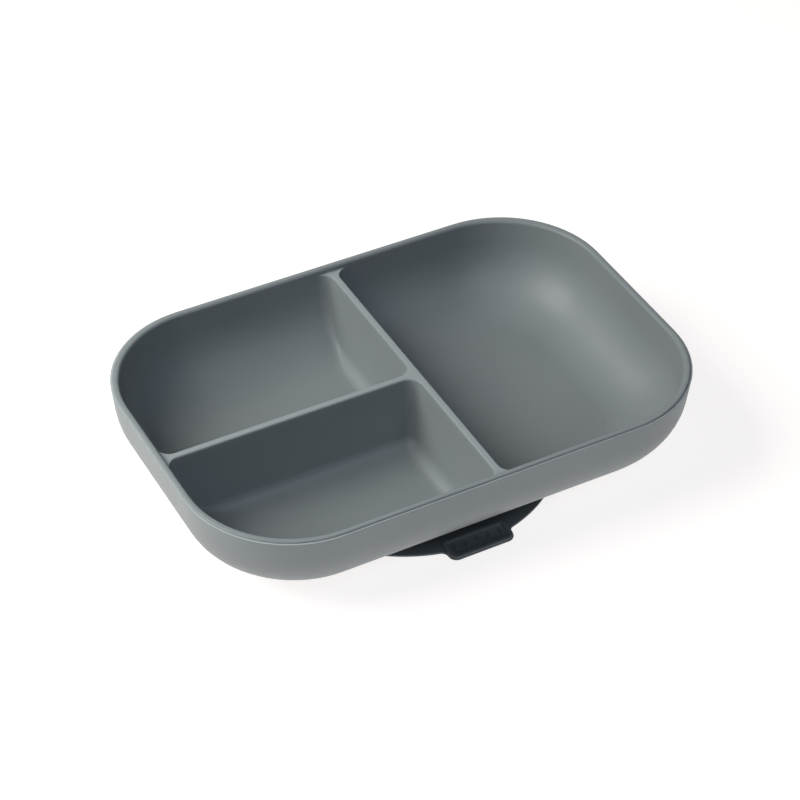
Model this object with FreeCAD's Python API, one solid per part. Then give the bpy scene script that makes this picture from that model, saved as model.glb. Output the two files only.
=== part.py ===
"""Divided feeding plate: a silicone tray of three compartments that plugs onto a silicone suction base.

Millimetres. +Z is up and the table is z = 0. The origin is under the middle of the tray.
+X is the tray's long side. The pull tab that breaks the suction is at the front, towards -Y.
"""
import FreeCAD, Part
import math
import os

# ---- tray: outside ----
TRAY_LENGTH = 250.0            # along X, over the parting line
TRAY_WIDTH = 170.0             # along Y, over the parting line
TRAY_HEIGHT = 42.6             # underside to parting line
CORNER_RADIUS = 51.0           # corners in plan, at the parting line
WALL_DRAFT = 5.0               # degrees, outside and inside
BASE_RADIUS = 33.5             # round between the outside wall and the underside
RIM_BAND_HEIGHT = 0.8          # rim above the parting line
PARTING_STEP = 0.3             # the band above the parting line is this much smaller all round
RIM_OUTER_ROUND = 0.6
RIM_INNER_ROUND = 1.2

# ---- tray: inside ----
RIM_WIDTH = 4.0                # parting line to the compartments' edge
FLOOR_THICKNESS = 3.0
BOWL_RADIUS = 30.0             # round between the inside of the walls and the floor
DIVIDER_DROP = 2.8             # divider tops below the rim
DIVIDER_THICKNESS = 3.6        # at the top
DIVIDER_DRAFT = 4.5            # degrees, each face
DIVIDER_FOOT_ROUND = 6.0       # dividers to floor, walls and each other
LONG_DIVIDER_X = 5.5           # centre of the divider that runs front to back
SHORT_DIVIDER_Y = -3.6         # centre of the divider that runs from it to the left wall

# ---- suction base ----
STANDING_GAP = 5.2             # table to the tray's underside
SEAL_RADIUS = 73.6             # outer edge of the sealing lip
SEAL_LAND = 8.0                # width of the flat ring that lies on the table
LIP_WIDTH = 11.6               # outer edge in to where the stiff lip meets the soft membrane
LIP_EDGE_THICKNESS = 1.2       # at the outer edge
LIP_ROOT_THICKNESS = 1.2       # at the membrane
LIP_ROOT_LIFT = 0.4            # underside of the lip's root above the table
HUB_MARGIN = 4.42              # hub's edge outside the socket
HUB_THICKNESS = 1.1
HUB_GAP = 0.3                  # hub top to the socket's end face, and plug top to the tray
MEMBRANE_THICKNESS = 1.1

# ---- plug and socket between the two mouldings ----
PLUG_RADIUS = 22.0
PLUG_CLEARANCE = 0.08          # radial
PLUG_LEAD = 0.6                # chamfer on the plug's top edge
SOCKET_WALL = 3.5
SOCKET_HEIGHT = 2.3

# ---- pull tab ----
TAB_WIDTH = 33.0
TAB_OVERHANG = 4.9             # tip outside the lip's edge
TAB_HINGE_INSET = 9.6          # bend line inside the lip's edge
TAB_THICKNESS = 1.8
TAB_LIFT = 0.3                 # underside above the table
TAB_CORNER = 5.0
TAB_SLIT = 0.35                # gap between the tab and the lip it is cut from
TAB_BORDER = 2.2               # plain margin round the grip panel
TAB_PANEL_DEPTH = 0.5
TAB_RIB_COUNT = 5
TAB_RIB_WIDTH = 1.4
TAB_RIB_GAP = 1.1              # rib ends to the border

# ---- levels and radii worked out from the sizes above ----
UNDERSIDE = STANDING_GAP
PARTING = UNDERSIDE + TRAY_HEIGHT
RIM_TOP = PARTING + RIM_BAND_HEIGHT
FLOOR = UNDERSIDE + FLOOR_THICKNESS
DIVIDER_TOP = RIM_TOP - DIVIDER_DROP
SOCKET_END = UNDERSIDE - SOCKET_HEIGHT
HUB_TOP = SOCKET_END - HUB_GAP
HUB_BOTTOM = HUB_TOP - HUB_THICKNESS
PLUG_TOP = UNDERSIDE - HUB_GAP
SOCKET_RADIUS = PLUG_RADIUS + PLUG_CLEARANCE
HUB_RADIUS = SOCKET_RADIUS + SOCKET_WALL + HUB_MARGIN
LIP_INNER_RADIUS = SEAL_RADIUS - LIP_WIDTH
TAB_REACH = SEAL_RADIUS + TAB_OVERHANG
TAB_HINGE_REACH = SEAL_RADIUS - TAB_HINGE_INSET

UP = FreeCAD.Vector(0, 0, 1)
ORIGIN = FreeCAD.Vector(0, 0, 0)
MERGE = 1.0                    # how far a solid reaches into the one it is joined to or cut from
TOLERANCE = 0.01               # for finding edges by their place


def point(x, y, z):
    return FreeCAD.Vector(x, y, z)


def section(corners):
    """Flat face in the XZ plane through (x, z) corners."""
    points = [point(x, 0, z) for x, z in corners]
    return Part.Face(Part.makePolygon(points + points[:1]))


def turned(corners):
    """Solid of revolution about Z from a section of (radius, z) corners."""
    return section(corners).revolve(ORIGIN, UP, 360)


def wall_section(radius, top, bottom, base_round):
    """Half section of a tub, from its corner axis out to a drafted wall with a round foot."""
    draft = math.radians(WALL_DRAFT)
    centre_z = bottom + base_round
    across = radius * math.cos(draft) - (top - centre_z) * math.sin(draft) - base_round
    centre_r = across / math.cos(draft)

    def on_round(angle):
        return point(centre_r + base_round * math.cos(angle), 0, centre_z - base_round * math.sin(angle))

    middle = (draft + math.pi / 2) / 2
    wall_foot = on_round(draft)
    round_end = on_round(math.pi / 2)
    lip = point(radius, 0, top)
    axis_top = point(0, 0, top)
    axis_bottom = point(0, 0, bottom)
    edges = [
        Part.LineSegment(axis_top, lip).toShape(),
        Part.LineSegment(lip, wall_foot).toShape(),
        Part.Arc(wall_foot, on_round(middle), round_end).toShape(),
        Part.LineSegment(round_end, axis_bottom).toShape(),
        Part.LineSegment(axis_bottom, axis_top).toShape(),
    ]
    return Part.Face(Part.Wire(edges))


def tub(inset, top, bottom, base_round):
    """Solid with a rounded-rectangle plan, inset from the parting line at its top edge."""
    corner = CORNER_RADIUS - inset
    reach_x = TRAY_LENGTH / 2 - CORNER_RADIUS
    reach_y = TRAY_WIDTH / 2 - CORNER_RADIUS
    face = wall_section(corner, top, bottom, base_round)
    pieces = []
    for quarter in range(4):
        turn = 90 * quarter
        sign_x = 1 if quarter in (0, 3) else -1
        sign_y = 1 if quarter in (0, 1) else -1
        round_corner = face.revolve(ORIGIN, UP, 90)
        round_corner.rotate(ORIGIN, UP, turn)
        round_corner.translate(point(sign_x * reach_x, sign_y * reach_y, 0))
        pieces.append(round_corner)
        run = reach_y if quarter in (0, 2) else reach_x
        distance = reach_x if quarter in (0, 2) else reach_y
        side = face.copy()
        side.translate(point(distance, -run, 0))
        side = side.extrude(point(0, 2 * run, 0))
        side.rotate(ORIGIN, UP, turn)
        pieces.append(side)
    core = Part.makeBox(2 * reach_x, 2 * reach_y, top - bottom, point(-reach_x, -reach_y, bottom))
    return core.fuse(pieces).removeSplitter()


def rounded_plate(length, width, corner, bottom, top):
    """Upright slab with rounded corners, centred on Z."""
    plate = Part.makeBox(length, width, top - bottom, point(-length / 2, -width / 2, bottom))
    upright = [edge for edge in plate.Edges if edge.BoundBox.ZLength > (top - bottom) / 2]
    return plate.makeFillet(corner, upright)


def divider_slab(across, along_start, along_end, runs_along_x):
    """Drafted wall, thickest at its foot, that reaches into the tray's floor and walls."""
    depth = DIVIDER_TOP - UNDERSIDE
    half_top = DIVIDER_THICKNESS / 2
    half_foot = half_top + depth * math.tan(math.radians(DIVIDER_DRAFT))
    corners = [
        (-half_foot, UNDERSIDE),
        (half_foot, UNDERSIDE),
        (half_top, DIVIDER_TOP),
        (-half_top, DIVIDER_TOP),
    ]
    slab = section(corners).extrude(point(0, along_end - along_start, 0))
    slab.translate(point(0, along_start, 0))
    if runs_along_x:
        slab.rotate(ORIGIN, UP, -90)
        slab.translate(point(0, across, 0))
    else:
        slab.translate(point(across, 0, 0))
    return slab


def foot_edges(pocket):
    """Edges of a compartment that lie on a divider's face, without those at the divider's top."""
    walls = []
    for face in pocket.Faces:
        if not isinstance(face.Surface, Part.Plane):
            continue
        lean = abs(face.normalAt(0, 0).z)
        if abs(lean - math.sin(math.radians(DIVIDER_DRAFT))) < 0.001:
            walls.append(face)
    edges = []
    for face in walls:
        for edge in face.Edges:
            at_top = edge.BoundBox.ZMin > DIVIDER_TOP - TOLERANCE
            known = any(edge.isSame(other) for other in edges)
            if not at_top and not known:
                edges.append(edge)
    return edges


def compartments():
    """The three hollows below the divider tops, as solids."""
    bowl = tub(RIM_WIDTH, RIM_TOP, FLOOR, BOWL_RADIUS)
    lower = Part.makeBox(TRAY_LENGTH, TRAY_WIDTH, DIVIDER_TOP - FLOOR + MERGE,
                         point(-TRAY_LENGTH / 2, -TRAY_WIDTH / 2, FLOOR - MERGE))
    lower = bowl.common(lower)
    long_slab = divider_slab(LONG_DIVIDER_X, -TRAY_WIDTH / 2, TRAY_WIDTH / 2, False)
    short_slab = divider_slab(SHORT_DIVIDER_Y, -TRAY_LENGTH / 2, LONG_DIVIDER_X, True)
    hollows = lower.cut(long_slab).cut(short_slab)
    return [hollow.makeFillet(DIVIDER_FOOT_ROUND, foot_edges(hollow)) for hollow in hollows.Solids]


def rim_edges(body, inset):
    """Edges of the rim's top face on the outline that is this far inside the parting line."""
    reach = TRAY_LENGTH / 2 - inset
    chosen = []
    for face in body.Faces:
        box = face.BoundBox
        if box.ZLength > TOLERANCE or abs(box.ZMax - RIM_TOP) > TOLERANCE:
            continue
        for wire in face.Wires:
            if abs(wire.BoundBox.XMax - reach) < TOLERANCE:
                chosen.extend(wire.Edges)
    return chosen


def tray():
    outside = tub(0, PARTING, UNDERSIDE, BASE_RADIUS)
    band = rounded_plate(TRAY_LENGTH - 2 * PARTING_STEP, TRAY_WIDTH - 2 * PARTING_STEP,
                         CORNER_RADIUS - PARTING_STEP, PARTING - MERGE, RIM_TOP)
    body = outside.fuse(band)
    above_dividers = tub(RIM_WIDTH, RIM_TOP, FLOOR, BOWL_RADIUS).common(
        Part.makeBox(TRAY_LENGTH, TRAY_WIDTH, RIM_TOP - DIVIDER_TOP,
                     point(-TRAY_LENGTH / 2, -TRAY_WIDTH / 2, DIVIDER_TOP)))
    body = body.cut(above_dividers)
    for hollow in compartments():
        body = body.cut(hollow)
    body = body.makeFillet(RIM_OUTER_ROUND, rim_edges(body, PARTING_STEP))
    body = body.makeFillet(RIM_INNER_ROUND, rim_edges(body, RIM_WIDTH))
    socket = turned([
        (SOCKET_RADIUS, SOCKET_END),
        (SOCKET_RADIUS + SOCKET_WALL, SOCKET_END),
        (SOCKET_RADIUS + SOCKET_WALL, UNDERSIDE + MERGE),
        (SOCKET_RADIUS, UNDERSIDE + MERGE),
    ])
    return body.fuse(socket).removeSplitter()


def suction_hub():
    """Stiff middle of the base, with the plug that holds the tray."""
    return turned([
        (0, HUB_BOTTOM),
        (HUB_RADIUS, HUB_BOTTOM),
        (HUB_RADIUS, HUB_TOP),
        (PLUG_RADIUS, HUB_TOP),
        (PLUG_RADIUS, PLUG_TOP - PLUG_LEAD),
        (PLUG_RADIUS - PLUG_LEAD, PLUG_TOP),
        (0, PLUG_TOP),
    ])


def suction_membrane():
    """Soft cone that flattens when the tray is pressed down."""
    return turned([
        (HUB_RADIUS, HUB_TOP - MEMBRANE_THICKNESS),
        (HUB_RADIUS, HUB_TOP),
        (LIP_INNER_RADIUS, LIP_ROOT_LIFT + LIP_ROOT_THICKNESS),
        (LIP_INNER_RADIUS, LIP_ROOT_LIFT),
    ])


def tab_blank(margin, bottom, top):
    """Tab outline in plan, grown by a margin, between two levels."""
    half = TAB_WIDTH / 2 + margin
    start = -TAB_HINGE_REACH + margin
    end = -TAB_REACH - margin
    blank = Part.makeBox(2 * half, start - end, top - bottom, point(-half, end, bottom))
    tips = [edge for edge in blank.Edges
            if edge.BoundBox.ZLength > (top - bottom) / 2 and edge.BoundBox.YMax < end + TOLERANCE]
    return blank.makeFillet(TAB_CORNER + margin, tips)


def suction_lip():
    """Stiff sealing ring on the table, with the pull tab's sector cut out of its front."""
    ring = turned([
        (LIP_INNER_RADIUS, LIP_ROOT_LIFT),
        (LIP_INNER_RADIUS, LIP_ROOT_LIFT + LIP_ROOT_THICKNESS),
        (SEAL_RADIUS, LIP_EDGE_THICKNESS),
        (SEAL_RADIUS, 0),
        (SEAL_RADIUS - SEAL_LAND, 0),
    ])
    return ring.cut(tab_blank(TAB_SLIT, -MERGE, TAB_LIFT + TAB_THICKNESS + MERGE))


def pull_tab():
    """Tab that peels the lip off the table, with a sunk panel of plain grip ribs."""
    top = TAB_LIFT + TAB_THICKNESS
    tab = tab_blank(0, TAB_LIFT, top)
    length = TAB_REACH - TAB_HINGE_REACH - 2 * TAB_BORDER
    width = TAB_WIDTH - 2 * TAB_BORDER
    panel = Part.makeBox(width, length, TAB_PANEL_DEPTH + MERGE,
                         point(-width / 2, -TAB_REACH + TAB_BORDER, top - TAB_PANEL_DEPTH))
    pitch = width / TAB_RIB_COUNT
    ribs = []
    for rib in range(TAB_RIB_COUNT):
        centre = (rib - (TAB_RIB_COUNT - 1) / 2) * pitch
        ribs.append(Part.makeBox(TAB_RIB_WIDTH, length - 2 * TAB_RIB_GAP, TAB_PANEL_DEPTH + MERGE,
                                 point(centre - TAB_RIB_WIDTH / 2, -TAB_REACH + TAB_BORDER + TAB_RIB_GAP,
                                       top - TAB_PANEL_DEPTH)))
    return tab.cut(panel.cut(ribs[0].fuse(ribs[1:])))


def main():
    os.makedirs("parts", exist_ok=True)
    nodes = {
        "tray": tray(),
        "suction_hub": suction_hub(),
        "suction_membrane": suction_membrane(),
        "suction_lip": suction_lip(),
        "pull_tab": pull_tab(),
    }
    for name, shape in nodes.items():
        solids = shape.Solids
        box = shape.BoundBox
        print(f"{name}: {len(solids)} solid, valid {shape.isValid()}, volume {shape.Volume / 1000:.2f} cm3, "
              f"z {box.ZMin:.2f} to {box.ZMax:.2f}")
        shape.exportStep(f"parts/{name}.step")


main()
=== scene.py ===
"""Looks of the divided suction plate: a moulded silicone tray that plugs onto a dark suction base.

Sizes are in millimetres until a mesh is made. The frame is the CAD model's: +Z up, table at z = 0,
origin under the middle of the tray, pull tab towards -Y.
"""

import math
from collections import namedtuple

import bmesh
import bpy
from mathutils import Matrix, Vector


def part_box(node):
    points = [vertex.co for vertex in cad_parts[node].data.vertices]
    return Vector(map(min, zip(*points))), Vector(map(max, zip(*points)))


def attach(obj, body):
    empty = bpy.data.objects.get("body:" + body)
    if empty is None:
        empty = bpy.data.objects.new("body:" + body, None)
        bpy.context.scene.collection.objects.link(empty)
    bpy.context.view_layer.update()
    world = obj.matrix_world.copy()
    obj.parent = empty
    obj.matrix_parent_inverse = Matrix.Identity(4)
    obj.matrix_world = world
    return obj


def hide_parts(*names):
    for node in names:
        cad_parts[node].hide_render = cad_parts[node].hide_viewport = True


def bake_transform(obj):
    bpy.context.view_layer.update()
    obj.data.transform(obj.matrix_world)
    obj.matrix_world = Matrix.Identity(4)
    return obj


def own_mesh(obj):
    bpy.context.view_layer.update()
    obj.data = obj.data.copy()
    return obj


MM = 0.001

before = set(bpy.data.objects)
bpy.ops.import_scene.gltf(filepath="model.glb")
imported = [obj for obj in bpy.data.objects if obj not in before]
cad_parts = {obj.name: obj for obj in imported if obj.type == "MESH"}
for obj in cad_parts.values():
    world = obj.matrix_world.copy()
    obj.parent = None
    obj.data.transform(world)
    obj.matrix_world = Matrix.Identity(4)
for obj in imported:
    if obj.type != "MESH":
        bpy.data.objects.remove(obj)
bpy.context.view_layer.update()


def node_box(name):
    """A CAD node's lowest and highest corners in millimetres."""
    low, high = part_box(name)
    return low / MM, high / MM


TRAY_LOW, TRAY_HIGH = node_box("tray")
HUB_LOW, HUB_HIGH = node_box("suction_hub")
MEMBRANE_LOW, MEMBRANE_HIGH = node_box("suction_membrane")
LIP_LOW, LIP_HIGH = node_box("suction_lip")
TAB_LOW, TAB_HIGH = node_box("pull_tab")

# ---- tray outline and outside ----
HALF_LENGTH = TRAY_HIGH.x
HALF_WIDTH = TRAY_HIGH.y
CORNER_RADIUS = 51.0           # corners in plan at the parting line
CORNER_SHRINK = 0.57           # how fast the plan corners tighten as the wall comes in
WALL_DRAFT = math.radians(5.0)
BASE_RADIUS = 33.5
UNDERSIDE = 5.2
RIM_BAND_HEIGHT = 0.8
PARTING_STEP = 0.7
PARTING_GROOVE = 0.1          # groove above the step
PARTING_EDGE_ROUND = 0.1
RIM_OUTER_ROUND = 0.6
RIM_INNER_ROUND = 1.6
RIM_WIDTH = 3.6
RIM_TOP = TRAY_HIGH.z
PARTING = RIM_TOP - RIM_BAND_HEIGHT

# ---- tray inside ----
FLOOR = 8.2
BOWL_RADIUS = 30.0
DIVIDER_DROP = 2.8
DIVIDER_TOP = RIM_TOP - DIVIDER_DROP
DIVIDER_THICKNESS = 3.6
DIVIDER_DRAFT = math.radians(4.5)
DIVIDER_FOOT_ROUND = 7.0
DIVIDER_EDGE_ROUND = 0.9
DIVIDER_TOP_FILLET = 0.8       # divider top to the wall above it
FLARE_TOP = 6.5                # plan fillets where dividers meet walls and each other
FLARE_FOOT = 3.5
LONG_DIVIDER_X = 5.5
SHORT_DIVIDER_Y = -3.6
EDGE_HOLD = 0.25               # width of the strip that keeps a flat face flat beside a round edge
FLOOR_HOLD = 1.5
WALL_HOLD = 1.0
CENTRE_CAP = 1.0               # radius of the flat face that closes a turned piece

# ---- plug and socket ----
SOCKET_RADIUS = 22.08
SOCKET_WALL = 3.5
SOCKET_EDGE_ROUND = 0.4
SOCKET_END = TRAY_LOW.z
PLUG_RADIUS = 22.0
PLUG_TOP = HUB_HIGH.z
PLUG_LEAD = 0.6

# ---- suction base ----
HUB_RADIUS = HUB_HIGH.x
HUB_TOP = MEMBRANE_HIGH.z
HUB_BOTTOM = HUB_LOW.z
SEAM_ROUND = 0.15
SEAM_GAP = 0.04                # keeps the hub's wall clear of the membrane as it moves
LIP_INNER_RADIUS = MEMBRANE_HIGH.x
LIP_ROOT_LIFT = MEMBRANE_LOW.z
LIP_ROOT_TOP = LIP_HIGH.z
MEMBRANE_EDGE_TOP = 0.85       # top of the membrane where it meets the lip
SEAL_RADIUS = LIP_HIGH.x
SEAL_LAND = 8.0
LIP_EDGE_THICKNESS = 1.2
LIP_EDGE_ROUND = 0.4

# ---- pull tab ----
TAB_WIDTH = 2 * TAB_HIGH.x
TAB_REACH = -TAB_LOW.y
TAB_TOP = TAB_HIGH.z
TAB_CORNER = 3.9
TAB_ROOT_ROUND = 3.2
TAB_PAD_GAP = 2.0              # bend line to the back edge of the raised pad
TAB_PAD_START = TAB_PAD_GAP - TAB_HIGH.y
TAB_PAD_MARGIN = 0.25
TAB_EDGE_ROUND = 0.45
TAB_BORDER = 2.0
TAB_PANEL_DEPTH = 0.6
TAB_RIB_COUNT = 5
TAB_RIB_WIDTH = 1.5

# ---- mesh fineness ----
BIG_CORNER_STEPS = 18
SMALL_CORNER_STEPS = 8
SIDE_STEPS = 8
BOWL_STEPS = 14
FOOT_STEPS = 6
EDGE_STEPS = 4
WALL_STEPS = 3
ARC_STEPS = 5
TURN_STEPS = 144
WELD_DISTANCE = 0.001

# ---- silicone ----
SILICONE_IOR = 1.41
CLOUD_SIZE = 45.0
CLOUD_DETAIL = 3
CLOUD_START = 0.3              # noise value where the tint starts, and where it is full
CLOUD_FULL = 0.7
BLOTCH_SIZE = 6.0
BLOTCH_DETAIL = 4
GRAIN_SIZE = 0.35
GRAIN_DETAIL = 2
GRAIN_DEPTH = 0.05
TRAY_COLOUR = (0.195, 0.216, 0.219)
TRAY_TINT = (0.207, 0.228, 0.231)
TRAY_ROUGHNESS = (0.42, 0.52)
TRAY_GRAIN = 0.12
HIGHLIGHT_FACING = (0.8, 0.97)       # upward part of the normal where the painted highlight and the smoother finish start and are full
TOP_SMOOTHER = 0.65
PAINTED_TOP_HIGHLIGHTS = (                       # height, reach above and below it, how much paler: a painted highlight on the faces that look up there
    (DIVIDER_TOP, 0.6, 1.4),
    (RIM_TOP, 0.4, 1.15),
    # painted highlight line along the parting ledge
    (PARTING, 0.2, 1.8),
)
BASE_COLOUR = (0.088, 0.101, 0.106)
BASE_TINT = (0.100, 0.114, 0.119)
BASE_ROUGHNESS = (0.42, 0.52)
BASE_GRAIN = 0.12

# ---- studio ----
FLOOR_REACH = 40.0
FLOOR_DROP = 0.1
FLOOR_COLOUR = (0.42, 0.40, 0.385, 1)
FLOOR_ROUGHNESS = 0.9
FLOOR_GLOW = 0.8
FLOOR_GLOW_COLOUR = (1.0, 0.98, 0.97, 1)
LIGHTS = (                     # name, direction, distance, power, size, colour
    ("key", (-1.0, 0.35, 1.0), 0.95, 11.2, 0.65, (1.0, 1.0, 0.985)),
    ("fill", (0.0, -1.0, 1.0), 1.6, 6.5, 1.0, (0.88, 0.98, 1.15)),
    ("back", (0.5, 0.85, 0.65), 1.6, 2.0, 1.0, (1.0, 1.0, 1.0)),
)
CAMERA_AZIMUTH = -29.04
CAMERA_ELEVATION = 40.73
CAMERA_ROLL = 0.96
CAMERA_TARGET = (-0.0115, -0.0187, 0.0478)
CAMERA_DISTANCE = 1.1273
CAMERA_SENSOR = 36.0
CAMERA_LENS = 113.24


def smoothstep(share):
    """Share from 0 to 1 with a soft start and end."""
    share = min(1.0, max(0.0, share))
    return share * share * (3 - 2 * share)


# ---------------------------------------------------------------- meshes

class Surface:
    """Collects rings and faces in millimetres, then makes one closed mesh of them in metres."""

    def __init__(self):
        self.points = []
        self.faces = []

    def ring(self, points):
        """Adds points and returns their numbers."""
        first = len(self.points)
        self.points.extend(points)
        return list(range(first, len(self.points)))

    def strip(self, lower, upper):
        """Joins two rings of as many points each with a band of faces."""
        for i in range(len(lower)):
            j = (i + 1) % len(lower)
            self.faces.append((lower[i], lower[j], upper[j], upper[i]))

    def rings(self, rings):
        """Adds rings one after another, each joined to the one before."""
        made = [self.ring(points) for points in rings]
        for lower, upper in zip(made, made[1:]):
            self.strip(lower, upper)
        return made

    def cap(self, ring):
        self.faces.append(tuple(ring))

    def to_object(self, name):
        mesh = bpy.data.meshes.new(name)
        mesh.from_pydata([Vector(p) * MM for p in self.points], [], self.faces)
        work = bmesh.new()
        work.from_mesh(mesh)
        bmesh.ops.remove_doubles(work, verts=work.verts, dist=WELD_DISTANCE * MM)
        bmesh.ops.recalc_face_normals(work, faces=work.faces)
        work.to_mesh(mesh)
        work.free()
        mesh.shade_smooth()
        piece = bpy.data.objects.new(name, mesh)
        bpy.context.scene.collection.objects.link(piece)
        return piece


def rounded_path(corners, closed=False):
    """Points along (x, y, radius) corners, with an arc at each corner that has a radius."""
    points = []
    last = len(corners) - 1
    for i, (x, y, radius) in enumerate(corners):
        corner = Vector((x, y))
        if radius == 0 or (not closed and i in (0, last)):
            points.append(corner)
            continue
        before = (Vector(corners[i - 1][:2]) - corner).normalized()
        after = (Vector(corners[(i + 1) % len(corners)][:2]) - corner).normalized()
        half = before.angle(after) / 2
        centre = corner + (before + after).normalized() * (radius / math.sin(half))
        start = corner + before * (radius / math.tan(half)) - centre
        end = corner + after * (radius / math.tan(half)) - centre
        sweep = math.atan2(start.x * end.y - start.y * end.x, start.dot(end))
        for step in range(ARC_STEPS + 1):
            points.append(centre + Matrix.Rotation(sweep * step / ARC_STEPS, 2) @ start)
    return points


def turned(surface, profile, closed_profile=False):
    """Adds a solid of revolution about Z from a profile of (radius, z) points."""
    angles = [2 * math.pi * step / TURN_STEPS for step in range(TURN_STEPS)]
    rings = [[(r * math.cos(a), r * math.sin(a), z) for a in angles] for r, z in profile]
    if closed_profile:
        rings.append(rings[0])
    made = surface.rings(rings)
    if not closed_profile:
        surface.cap(made[0])
        surface.cap(made[-1])


# ---------------------------------------------------------------- tray

def drafted(z, start, top, draft, bottom, foot):
    """How far a drafted face with a round foot has come in at height z from its place at the top."""
    foot_top = bottom + foot * (1 - math.sin(draft))
    if z >= foot_top:
        return start + (top - z) * math.tan(draft)
    at_foot = start + (top - foot_top) * math.tan(draft)
    centre = at_foot + foot * math.cos(draft)
    drop = bottom + foot - z
    return centre - math.sqrt(max(0.0, foot * foot - drop * drop))


def inside_inset(z):
    """How far the tray's inner wall stands in from its outline at height z."""
    return drafted(z, RIM_WIDTH, RIM_TOP, WALL_DRAFT, FLOOR, BOWL_RADIUS)


def outside_inset(z):
    """How far the tray's outer wall stands in from its outline at height z."""
    return drafted(z, 0, PARTING, WALL_DRAFT, UNDERSIDE, BASE_RADIUS)


def divider_half(z):
    """Half the thickness of a divider at height z."""
    return drafted(z, DIVIDER_THICKNESS / 2, DIVIDER_TOP, DIVIDER_DRAFT, FLOOR,
                   DIVIDER_FOOT_ROUND)


def flare_radius(z):
    """Plan fillet beside a divider, tighter towards the floor."""
    return FLARE_FOOT + (FLARE_TOP - FLARE_FOOT) * (z - FLOOR) / (DIVIDER_TOP - FLOOR)


def corner_radius(inset):
    """Plan radius of the tray's corners on a wall that stands in by an inset."""
    return CORNER_RADIUS - CORNER_SHRINK * inset


def outline_point(station, inset):
    """Point of the tray's outline in plan. A station is (side, share along it) or (corner, angle)."""
    kind, index, value = station
    half_x = HALF_LENGTH - inset
    half_y = HALF_WIDTH - inset
    radius = corner_radius(inset)
    across, along = (half_y, half_x) if index % 2 == 0 else (half_x, half_y)
    if kind == "side":
        local = Vector((value * (along - radius), -across))
    else:
        local = Vector((along - radius + radius * math.sin(value),
                        -across + radius - radius * math.cos(value)))
    return Matrix.Rotation(index * math.pi / 2, 2) @ local


# A point in plan, the direction out of the hollow, and its share of the divider's edge round.
Spot = namedtuple("Spot", "place way share")


class Pocket:
    """One compartment. Sides are front, right, back, left: None for a wall, or a divider's middle."""

    def __init__(self, *dividers):
        self.dividers = dividers

    def is_wall(self, side):
        """Whether a side is the tray's own wall rather than a divider."""
        return self.dividers[side % 4] is None

    def reach(self, side, z):
        """How far a side lies from the origin, measured out of the compartment."""
        if self.is_wall(side):
            half = HALF_WIDTH if side % 2 == 0 else HALF_LENGTH
            return half - inside_inset(z)
        sign = -1 if side % 4 in (0, 3) else 1
        return sign * self.dividers[side % 4] - divider_half(z)

    def corner_kind(self, side):
        """What follows a side: a corner of the tray, a flare at a wall, or a junction of dividers."""
        walls = self.is_wall(side) + self.is_wall(side + 1)
        return ("junction", "flare", "tray")[walls]

    def corner_round(self, side, z):
        """Plan radius of the corner after a side."""
        if self.corner_kind(side) == "tray":
            return corner_radius(inside_inset(z))
        return flare_radius(z)

    def side_spots(self, side, z):
        """Points along a side, with its two ends."""
        turn = Matrix.Rotation(side * math.pi / 2, 2)
        across = self.reach(side, z)
        first = -self.reach(side - 1, z) + self.corner_round(side - 1, z)
        last = self.reach(side + 1, z) - self.corner_round(side, z)
        share = 0.0 if self.is_wall(side) else 1.0
        return [Spot(turn @ Vector((first + (last - first) * step / SIDE_STEPS, -across)),
                     turn @ Vector((0, -1)), share) for step in range(SIDE_STEPS + 1)]

    def corner_spots(self, side, z):
        """Points of the corner after a side, without its two ends."""
        turn = Matrix.Rotation(side * math.pi / 2, 2)
        radius = self.corner_round(side, z)
        centre = Vector((self.reach(side + 1, z) - radius, radius - self.reach(side, z)))
        kind = self.corner_kind(side)
        steps = BIG_CORNER_STEPS if kind == "tray" else SMALL_CORNER_STEPS
        spots = []
        for step in range(1, steps):
            angle = math.pi / 2 * step / steps
            way = Vector((math.sin(angle), -math.cos(angle)))
            from_wall = angle if self.is_wall(side) else math.pi / 2 - angle
            share = {"tray": 0.0, "junction": 1.0, "flare": smoothstep(1 - math.cos(from_wall))}[kind]
            spots.append(Spot(turn @ (centre + radius * way), turn @ way, share))
        return spots

    def slice(self, z):
        """All round the compartment at height z."""
        spots = []
        for side in range(4):
            spots += self.side_spots(side, z) + self.corner_spots(side, z)
        return spots

    def divider_spots(self, z):
        """The part of a slice along the dividers, from wall to wall."""
        first = next(side for side in range(4) if not self.is_wall(side) and self.is_wall(side - 1))
        spots = [self.side_spots(first - 1, z)[-1]] + self.corner_spots(first - 1, z)
        side = first
        while not self.is_wall(side):
            spots += self.side_spots(side, z) + self.corner_spots(side, z)
            side += 1
        return spots + [self.side_spots(side, z)[0]]

    def wall_stations(self, side, z):
        """Stations of the outline along one wall side, between the dividers or corners at its ends."""
        back_turn = Matrix.Rotation(-side * math.pi / 2, 2)
        flare_before = self.corner_kind(side - 1) == "flare"
        flare_after = self.corner_kind(side) == "flare"
        spots = self.side_spots(side, z)
        if flare_before:
            spots = [self.side_spots(side - 1, z)[-1]] + self.corner_spots(side - 1, z) + spots
        if flare_after:
            spots = spots + self.corner_spots(side, z) + [self.side_spots(side + 1, z)[0]]
        half = HALF_LENGTH if side % 2 == 0 else HALF_WIDTH
        straight = half - inside_inset(z) - corner_radius(inside_inset(z))
        return [(("side", side, (back_turn @ spot.place).x / straight), spot.share) for spot in spots]


def shifted(spots, distance, z):
    """Ring at height z, with its divider faces moved out of the hollow by a distance."""
    return [(*(spot.place + spot.way * spot.share * distance), z) for spot in spots]


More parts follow.
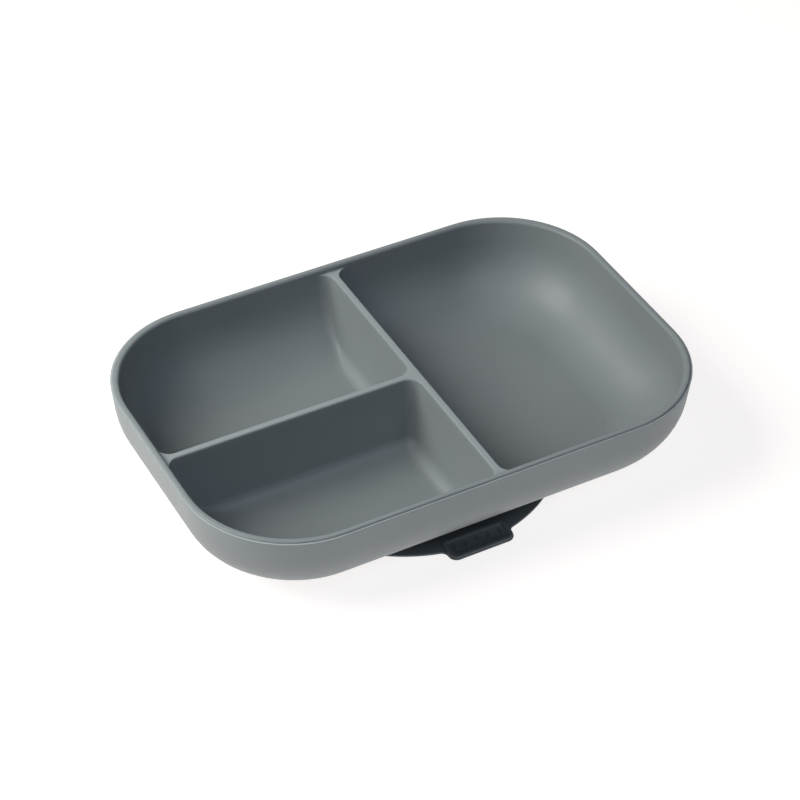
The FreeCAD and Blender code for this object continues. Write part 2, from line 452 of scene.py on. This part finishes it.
def depth_levels():
    """Heights of the rings from under the divider's edge round down to the floor."""
    top = DIVIDER_TOP - DIVIDER_EDGE_ROUND
    levels = set()
    for foot, draft, steps in ((BOWL_RADIUS, WALL_DRAFT, BOWL_STEPS),
                               (DIVIDER_FOOT_ROUND, DIVIDER_DRAFT, FOOT_STEPS)):
        for step in range(steps + 1):
            angle = (math.pi / 2 - draft) * step / steps
            levels.add(round(FLOOR + foot * (1 - math.cos(angle)), 4))
    highest = max(levels)
    levels |= {highest + (top - highest) * step / WALL_STEPS for step in range(1, WALL_STEPS)}
    return sorted(levels, reverse=True)


def add_pocket(surface, pocket):
    """Adds a compartment's rings, from the flat divider tops down to the floor."""
    rings = [shifted(pocket.slice(DIVIDER_TOP), DIVIDER_EDGE_ROUND + EDGE_HOLD, DIVIDER_TOP)]
    for step in range(EDGE_STEPS + 1):
        angle = math.pi / 2 * step / EDGE_STEPS
        z = DIVIDER_TOP - DIVIDER_EDGE_ROUND * (1 - math.cos(angle))
        rings.append(shifted(pocket.slice(z), DIVIDER_EDGE_ROUND * (1 - math.sin(angle)), z))
    for z in depth_levels():
        rings.append(shifted(pocket.slice(z), 0, z))
    floor_spots = pocket.slice(FLOOR)
    rings.append([(*(spot.place - spot.way * FLOOR_HOLD), FLOOR) for spot in floor_spots])
    surface.cap(surface.rings(rings)[-1])


def outline_stations(pockets):
    """Stations all round the tray's outline, with the share of the divider tops' fillet at each."""
    right, back_left, front_left = pockets
    sides = ((front_left, right), (right,), (right, back_left), (back_left, front_left))
    stations = []
    for side, beside in enumerate(sides):
        for pocket in beside:
            stations += pocket.wall_stations(side, DIVIDER_TOP)
        stations += [(("corner", side, math.pi / 2 * step / BIG_CORNER_STEPS), 0.0)
                     for step in range(1, BIG_CORNER_STEPS)]
    return stations


def outline_ring(stations, inset, z, fillet):
    """Ring at height z, in from the outline by an inset, and by a fillet more at the divider tops."""
    return [(*outline_point(station, inset + share * fillet), z) for station, share in stations]


def add_divider_tops(surface, pockets, stations):
    """Adds the flat face that the divider tops share."""
    right, back_left, front_left = pockets
    inset = inside_inset(DIVIDER_TOP)
    ring = outline_ring(stations, inset, DIVIDER_TOP, DIVIDER_TOP_FILLET + EDGE_HOLD)
    loop = []
    for pocket, side in ((right, 0), (front_left, 3), (back_left, 2)):
        loop += shifted(pocket.divider_spots(DIVIDER_TOP), DIVIDER_EDGE_ROUND + EDGE_HOLD, DIVIDER_TOP)
        gap = [point for point, (station, share) in zip(ring, stations)
               if station[1] == side and share > 0]
        loop += reversed(gap)
    surface.cap(surface.ring(loop))


def rim_profile():
    """(inset, z, fillet) rows from the divider tops up the inside, over the rim and down outside."""
    rows = [(inside_inset(DIVIDER_TOP), DIVIDER_TOP, DIVIDER_TOP_FILLET + EDGE_HOLD)]
    for step in range(EDGE_STEPS + 1):
        angle = math.pi / 2 * step / EDGE_STEPS
        z = DIVIDER_TOP + DIVIDER_TOP_FILLET * (1 - math.cos(angle))
        rows.append((inside_inset(z), z, DIVIDER_TOP_FILLET * (1 - math.sin(angle))))
    fillet_top = DIVIDER_TOP + DIVIDER_TOP_FILLET
    wall_top = PARTING - WALL_HOLD
    edge = rounded_path([
        (inside_inset(fillet_top), fillet_top, 0),
        (RIM_WIDTH, RIM_TOP, RIM_INNER_ROUND),
        (PARTING_STEP, RIM_TOP, RIM_OUTER_ROUND),
        (PARTING_STEP + PARTING_GROOVE, PARTING, PARTING_EDGE_ROUND),
        (0, PARTING, PARTING_EDGE_ROUND),
        (outside_inset(wall_top), wall_top, 0),
    ])
    rows += [(inset, z, 0) for inset, z in edge[1:]]
    foot_top = UNDERSIDE + BASE_RADIUS * (1 - math.sin(WALL_DRAFT))
    for step in range(1, WALL_STEPS):
        z = wall_top + (foot_top - wall_top) * step / WALL_STEPS
        rows.append((outside_inset(z), z, 0))
    for step in range(BOWL_STEPS + 1):
        angle = WALL_DRAFT + (math.pi / 2 - WALL_DRAFT) * step / BOWL_STEPS
        z = UNDERSIDE + BASE_RADIUS * (1 - math.sin(angle))
        rows.append((outside_inset(z), z, 0))
    rows.append((outside_inset(UNDERSIDE) + FLOOR_HOLD, UNDERSIDE, 0))
    return rows


def socket_profile():
    """(radius, z) points from the tray's flat underside over the socket ring to the flat inside it."""
    outer = SOCKET_RADIUS + SOCKET_WALL
    return rounded_path([
        (outer + FLOOR_HOLD, UNDERSIDE, 0),
        (outer, UNDERSIDE, SOCKET_EDGE_ROUND),
        (outer, SOCKET_END, SOCKET_EDGE_ROUND),
        (SOCKET_RADIUS, SOCKET_END, SOCKET_EDGE_ROUND),
        (SOCKET_RADIUS, UNDERSIDE, SOCKET_EDGE_ROUND),
        (SOCKET_RADIUS - FLOOR_HOLD, UNDERSIDE, 0),
    ])


def tray():
    """The whole tray as one closed mesh."""
    right = Pocket(None, None, None, LONG_DIVIDER_X)
    back_left = Pocket(SHORT_DIVIDER_Y, LONG_DIVIDER_X, None, None)
    front_left = Pocket(None, LONG_DIVIDER_X, SHORT_DIVIDER_Y, None)
    pockets = (right, back_left, front_left)
    stations = outline_stations(pockets)
    surface = Surface()
    rings = [outline_ring(stations, inset, z, fillet) for inset, z, fillet in rim_profile()]
    ways = [Vector(point[:2]).normalized() for point in rings[-1]]
    for radius, z in socket_profile():
        rings.append([(*(way * radius), z) for way in ways])
    surface.cap(surface.rings(rings)[-1])
    add_divider_tops(surface, pockets, stations)
    for pocket in pockets:
        add_pocket(surface, pocket)
    return surface.to_object("tray_shell")


# ---------------------------------------------------------------- suction base

def base_hub():
    """The base's stiff middle and its plug."""
    surface = Surface()
    turned(surface, rounded_path([
        (CENTRE_CAP, HUB_BOTTOM, 0),
        (HUB_RADIUS, HUB_BOTTOM, SEAM_ROUND),
        (HUB_RADIUS, HUB_TOP, SEAM_ROUND),
        (PLUG_RADIUS, HUB_TOP, SOCKET_EDGE_ROUND),
        (PLUG_RADIUS, PLUG_TOP, PLUG_LEAD),
        (CENTRE_CAP, PLUG_TOP, 0),
    ]))
    return surface.to_object("base_hub")


def base_membrane():
    """The soft cone between the hub and the lip."""
    surface = Surface()
    turned(surface, rounded_path([
        (HUB_RADIUS + SEAM_GAP, HUB_BOTTOM, SEAM_ROUND),
        (HUB_RADIUS + SEAM_GAP, HUB_TOP, SEAM_ROUND),
        (LIP_INNER_RADIUS, MEMBRANE_EDGE_TOP, 0),
        (LIP_INNER_RADIUS, LIP_ROOT_LIFT, 0),
    ], closed=True), closed_profile=True)
    return surface.to_object("base_membrane")


def lip_outline():
    """Plan of the sealing lip's outer edge, with the tab at the front."""
    half = TAB_WIDTH / 2
    meeting = -math.sqrt(SEAL_RADIUS ** 2 - half ** 2)
    root = math.atan2(meeting, half)
    first = root + TAB_ROOT_ROUND / SEAL_RADIUS
    sweep = math.pi - 2 * first
    angles = [first + sweep * step / TURN_STEPS for step in range(TURN_STEPS + 1)]
    corners = [(SEAL_RADIUS * math.cos(a), SEAL_RADIUS * math.sin(a), 0) for a in angles]
    corners += [
        (-half, meeting, TAB_ROOT_ROUND),
        (-half, -TAB_REACH, TAB_CORNER),
        (half, -TAB_REACH, TAB_CORNER),
        (half, meeting, TAB_ROOT_ROUND),
    ]
    return rounded_path(corners, closed=True)


def moved_in(path, distance, z):
    """Ring at height z of a closed plan path, moved in by a distance."""
    ring = []
    for before, point, after in zip(path[-1:] + path[:-1], path, path[1:] + path[:1]):
        along = (after - before).normalized()
        ring.append((point.x - along.y * distance, point.y + along.x * distance, z))
    return ring


def add_lip(surface):
    """Adds the sealing lip and the thin plate of the tab in one closed ring."""
    outline = lip_outline()
    ways = [point.normalized() for point in outline]

    def circle(radius, z):
        return [(*(way * radius), z) for way in ways]

    rings = [circle(LIP_INNER_RADIUS, LIP_ROOT_LIFT), circle(SEAL_RADIUS - SEAL_LAND, 0)]
    rings.append(moved_in(outline, LIP_EDGE_ROUND + EDGE_HOLD, 0))
    for middle, start in ((LIP_EDGE_ROUND, 0), (LIP_EDGE_THICKNESS - LIP_EDGE_ROUND, math.pi / 2)):
        for step in range(EDGE_STEPS + 1):
            angle = start + math.pi / 2 * step / EDGE_STEPS
            rings.append(moved_in(outline, LIP_EDGE_ROUND * (1 - math.sin(angle)),
                                  middle - LIP_EDGE_ROUND * math.cos(angle)))
    rings.append(moved_in(outline, LIP_EDGE_ROUND + EDGE_HOLD, LIP_EDGE_THICKNESS))
    rings.append(circle(LIP_INNER_RADIUS + LIP_EDGE_ROUND, LIP_ROOT_TOP))
    rings.append(circle(LIP_INNER_RADIUS, LIP_ROOT_TOP - LIP_EDGE_ROUND))
    rings.append(rings[0])
    surface.rings(rings)


def plate_path(left, right, front, back, front_round, back_round):
    """Plan of a plate with rounded corners."""
    return rounded_path([
        (left, front, front_round),
        (right, front, front_round),
        (right, back, back_round),
        (left, back, back_round),
    ], closed=True)


def add_raised(surface, path, bottom, top, panel_border=0, panel_depth=0):
    """Adds a pad with rounded top edges, and a sunk panel inside a border if one is asked for."""
    rings = [moved_in(path, 0, bottom)]
    for step in range(EDGE_STEPS + 1):
        angle = math.pi / 2 * step / EDGE_STEPS
        rings.append(moved_in(path, TAB_EDGE_ROUND * (1 - math.cos(angle)),
                              top - TAB_EDGE_ROUND * (1 - math.sin(angle))))
    rings.append(moved_in(path, TAB_EDGE_ROUND + EDGE_HOLD, top))
    if panel_border:
        rings.append(moved_in(path, panel_border - EDGE_HOLD, top))
        rings.append(moved_in(path, panel_border, top - panel_depth / 2))
        rings.append(moved_in(path, panel_border + EDGE_HOLD, top - panel_depth))
    made = surface.rings(rings)
    surface.cap(made[0])
    surface.cap(made[-1])


def add_tab_pad(surface):
    """Adds the tab's raised pad and the grip ribs in its panel."""
    half = TAB_WIDTH / 2 - TAB_PAD_MARGIN
    front = -TAB_REACH + TAB_PAD_MARGIN
    hidden = LIP_EDGE_THICKNESS / 2
    pad = plate_path(-half, half, front, -TAB_PAD_START, TAB_CORNER, TAB_BORDER + EDGE_HOLD * 2)
    add_raised(surface, pad, hidden, TAB_TOP, TAB_BORDER, TAB_PANEL_DEPTH)
    pitch = 2 * (half - TAB_BORDER) / TAB_RIB_COUNT
    panel_bottom = TAB_TOP - TAB_PANEL_DEPTH
    for rib in range(TAB_RIB_COUNT):
        centre = (rib - (TAB_RIB_COUNT - 1) / 2) * pitch
        path = plate_path(centre - TAB_RIB_WIDTH / 2, centre + TAB_RIB_WIDTH / 2,
                          front + 2 * TAB_BORDER, -TAB_PAD_START - 2 * TAB_BORDER,
                          TAB_RIB_WIDTH / 2, TAB_RIB_WIDTH / 2)
        add_raised(surface, path, panel_bottom - TAB_EDGE_ROUND, TAB_TOP)


def base_lip():
    """The sealing lip and its pull tab."""
    surface = Surface()
    add_lip(surface)
    add_tab_pad(surface)
    return surface.to_object("base_lip")


# ---------------------------------------------------------------- materials

def silicone(name, colour, tint, roughness, grain):
    """Matte moulded silicone: cloudy colour and roughness, and a fine grain in the surface."""
    material = bpy.data.materials.new(name)
    material.use_nodes = True
    nodes = material.node_tree.nodes
    links = material.node_tree.links
    shader = nodes["Principled BSDF"]
    shader.inputs["IOR"].default_value = SILICONE_IOR
    place = nodes.new("ShaderNodeTexCoord")

    def noise(size, detail):
        """Noise of a size in millimetres, fixed to the piece."""
        node = nodes.new("ShaderNodeTexNoise")
        node.inputs["Scale"].default_value = 1 / (size * MM)
        node.inputs["Detail"].default_value = detail
        links.new(place.outputs["Object"], node.inputs["Vector"])
        return node

    cloud = noise(CLOUD_SIZE, CLOUD_DETAIL)
    ramp = nodes.new("ShaderNodeValToRGB")
    ramp.color_ramp.elements[0].position = CLOUD_START
    ramp.color_ramp.elements[0].color = (*colour, 1)
    ramp.color_ramp.elements[1].position = CLOUD_FULL
    ramp.color_ramp.elements[1].color = (*tint, 1)
    links.new(cloud.outputs["Fac"], ramp.inputs["Fac"])
    links.new(ramp.outputs["Color"], shader.inputs["Base Color"])
    blotch = noise(BLOTCH_SIZE, BLOTCH_DETAIL)
    spread = nodes.new("ShaderNodeMapRange")
    spread.inputs["To Min"].default_value = roughness[0]
    spread.inputs["To Max"].default_value = roughness[1]
    links.new(blotch.outputs["Fac"], spread.inputs["Value"])
    links.new(spread.outputs["Result"], shader.inputs["Roughness"])
    bump = nodes.new("ShaderNodeBump")
    bump.inputs["Strength"].default_value = grain
    bump.inputs["Distance"].default_value = GRAIN_DEPTH * MM
    links.new(noise(GRAIN_SIZE, GRAIN_DETAIL).outputs["Fac"], bump.inputs["Height"])
    links.new(bump.outputs["Normal"], shader.inputs["Normal"])
    return material


def paint_top_highlight(material, height, reach, paler):
    """Paints a highlight on the faces that look up at one height: paler colour there, and a smoother finish
    than the rest.
    """
    nodes = material.node_tree.nodes
    links = material.node_tree.links
    shader = nodes["Principled BSDF"]
    place = nodes.new("ShaderNodeTexCoord")

    def upright(output):
        """Z of the piece's own coordinates or normal."""
        split = nodes.new("ShaderNodeSeparateXYZ")
        links.new(place.outputs[output], split.inputs["Vector"])
        return split.outputs["Z"]

    facing = nodes.new("ShaderNodeMapRange")
    facing.inputs["From Min"].default_value = HIGHLIGHT_FACING[0]
    facing.inputs["From Max"].default_value = HIGHLIGHT_FACING[1]
    links.new(upright("Normal"), facing.inputs["Value"])
    near = nodes.new("ShaderNodeMath")
    near.operation = "COMPARE"
    near.inputs[1].default_value = height * MM
    near.inputs[2].default_value = reach * MM
    links.new(upright("Object"), near.inputs[0])
    highlight_share = nodes.new("ShaderNodeMath")
    highlight_share.operation = "MULTIPLY"
    links.new(facing.outputs["Result"], highlight_share.inputs[0])
    links.new(near.outputs["Value"], highlight_share.inputs[1])
    # The paler base colour is a painted highlight; the lower roughness is a smoother finish.
    for name, share in (("Base Color", paler), ("Roughness", TOP_SMOOTHER)):
        amount = nodes.new("ShaderNodeMapRange")
        amount.inputs["To Min"].default_value = 1.0
        amount.inputs["To Max"].default_value = share
        links.new(highlight_share.outputs["Value"], amount.inputs["Value"])
        scaled = nodes.new("ShaderNodeVectorMath")
        scaled.operation = "SCALE"
        links.new(shader.inputs[name].links[0].from_socket, scaled.inputs["Vector"])
        links.new(amount.outputs["Result"], scaled.inputs["Scale"])
        links.new(scaled.outputs["Vector"], shader.inputs[name])


def paint(piece, material):
    """Gives a piece its material, in a single slot."""
    piece.data.materials.clear()
    piece.data.materials.append(material)


# ---------------------------------------------------------------- studio

def floor():
    """A pale floor that glows a little, so that the shadow stays faint."""
    mesh = bpy.data.meshes.new("studio_floor")
    corners = [(x, y, 0) for x, y in ((-1, -1), (1, -1), (1, 1), (-1, 1))]
    mesh.from_pydata([Vector(c) * FLOOR_REACH for c in corners], [], [(0, 1, 2, 3)])
    piece = bpy.data.objects.new("studio_floor", mesh)
    piece.location.z = -FLOOR_DROP * MM
    bpy.context.scene.collection.objects.link(piece)
    material = bpy.data.materials.new("studio_floor")
    material.use_nodes = True
    shader = material.node_tree.nodes["Principled BSDF"]
    shader.inputs["Base Color"].default_value = FLOOR_COLOUR
    shader.inputs["Roughness"].default_value = FLOOR_ROUGHNESS
    shader.inputs["Specular IOR Level"].default_value = 0
    shader.inputs["Emission Color"].default_value = FLOOR_GLOW_COLOUR
    shader.inputs["Emission Strength"].default_value = FLOOR_GLOW
    mesh.materials.append(material)


def soft_light(name, direction, distance, power, size, colour):
    """Square area light at a distance in one direction from the origin, facing it."""
    data = bpy.data.lights.new(name, "AREA")
    data.energy = power
    data.size = size
    data.color = colour
    light = bpy.data.objects.new(name, data)
    light.location = Vector(direction).normalized() * distance
    light.rotation_euler = Vector(direction).to_track_quat("Z", "Y").to_euler()
    bpy.context.scene.collection.objects.link(light)


def world_light():
    """A dark world, so that only the lamps and the floor light the plate."""
    world = bpy.data.worlds.new("studio")
    world.use_nodes = True
    background = world.node_tree.nodes["Background"]
    background.inputs["Strength"].default_value = 0
    bpy.context.scene.world = world


def camera():
    """The camera, turned about its own axis by a small roll."""
    angles = (CAMERA_AZIMUTH, CAMERA_ELEVATION, CAMERA_ROLL)
    azimuth, elevation, roll = (math.radians(angle) for angle in angles)
    back = Vector((math.sin(azimuth) * math.cos(elevation), -math.cos(azimuth) * math.cos(elevation),
                   math.sin(elevation)))
    right = Vector((0, 0, 1)).cross(back).normalized()
    up = back.cross(right)
    level = Matrix((right, up, back)).transposed().to_4x4()
    data = bpy.data.cameras.new("camera")
    data.sensor_width = CAMERA_SENSOR
    data.lens = CAMERA_LENS
    piece = bpy.data.objects.new("camera", data)
    piece.matrix_world = Matrix.Translation(Vector(CAMERA_TARGET) + back * CAMERA_DISTANCE) @ level \
        @ Matrix.Rotation(roll, 4, "Z")
    bpy.context.scene.collection.objects.link(piece)
    bpy.context.scene.camera = piece


# ---------------------------------------------------------------- scene


def place_tray():
    """Makes the tray, which rides on its own body."""
    material = silicone("tray_silicone", TRAY_COLOUR, TRAY_TINT, TRAY_ROUGHNESS, TRAY_GRAIN)
    # Painted highlight on the up-facing divider tops, rim and parting ledge, which also get a smoother
    # finish.
    for height, reach, paler in PAINTED_TOP_HIGHLIGHTS:
        paint_top_highlight(material, height, reach, paler)
    shell = tray()
    paint(shell, material)
    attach(shell, "tray")
    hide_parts("tray")


def place_base():
    """Makes the base's hub, the cone between the hub and the lip, and the lip with its pull tab."""
    material = silicone("base_silicone", BASE_COLOUR, BASE_TINT, BASE_ROUGHNESS, BASE_GRAIN)
    hub = base_hub()
    paint(hub, material)
    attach(hub, "hub")
    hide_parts("suction_hub")

    membrane = base_membrane()
    paint(membrane, material)
    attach(membrane, "lip")
    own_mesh(membrane)
    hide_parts("suction_membrane")

    lip = base_lip()
    paint(lip, material)
    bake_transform(lip)
    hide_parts("suction_lip", "pull_tab")


def studio():
    """Floor, world, lamps and camera."""
    floor()
    world_light()
    for light in LIGHTS:
        soft_light(*light)
    camera()
    bpy.context.scene.view_settings.view_transform = "Standard"


place_tray()
place_base()
studio()
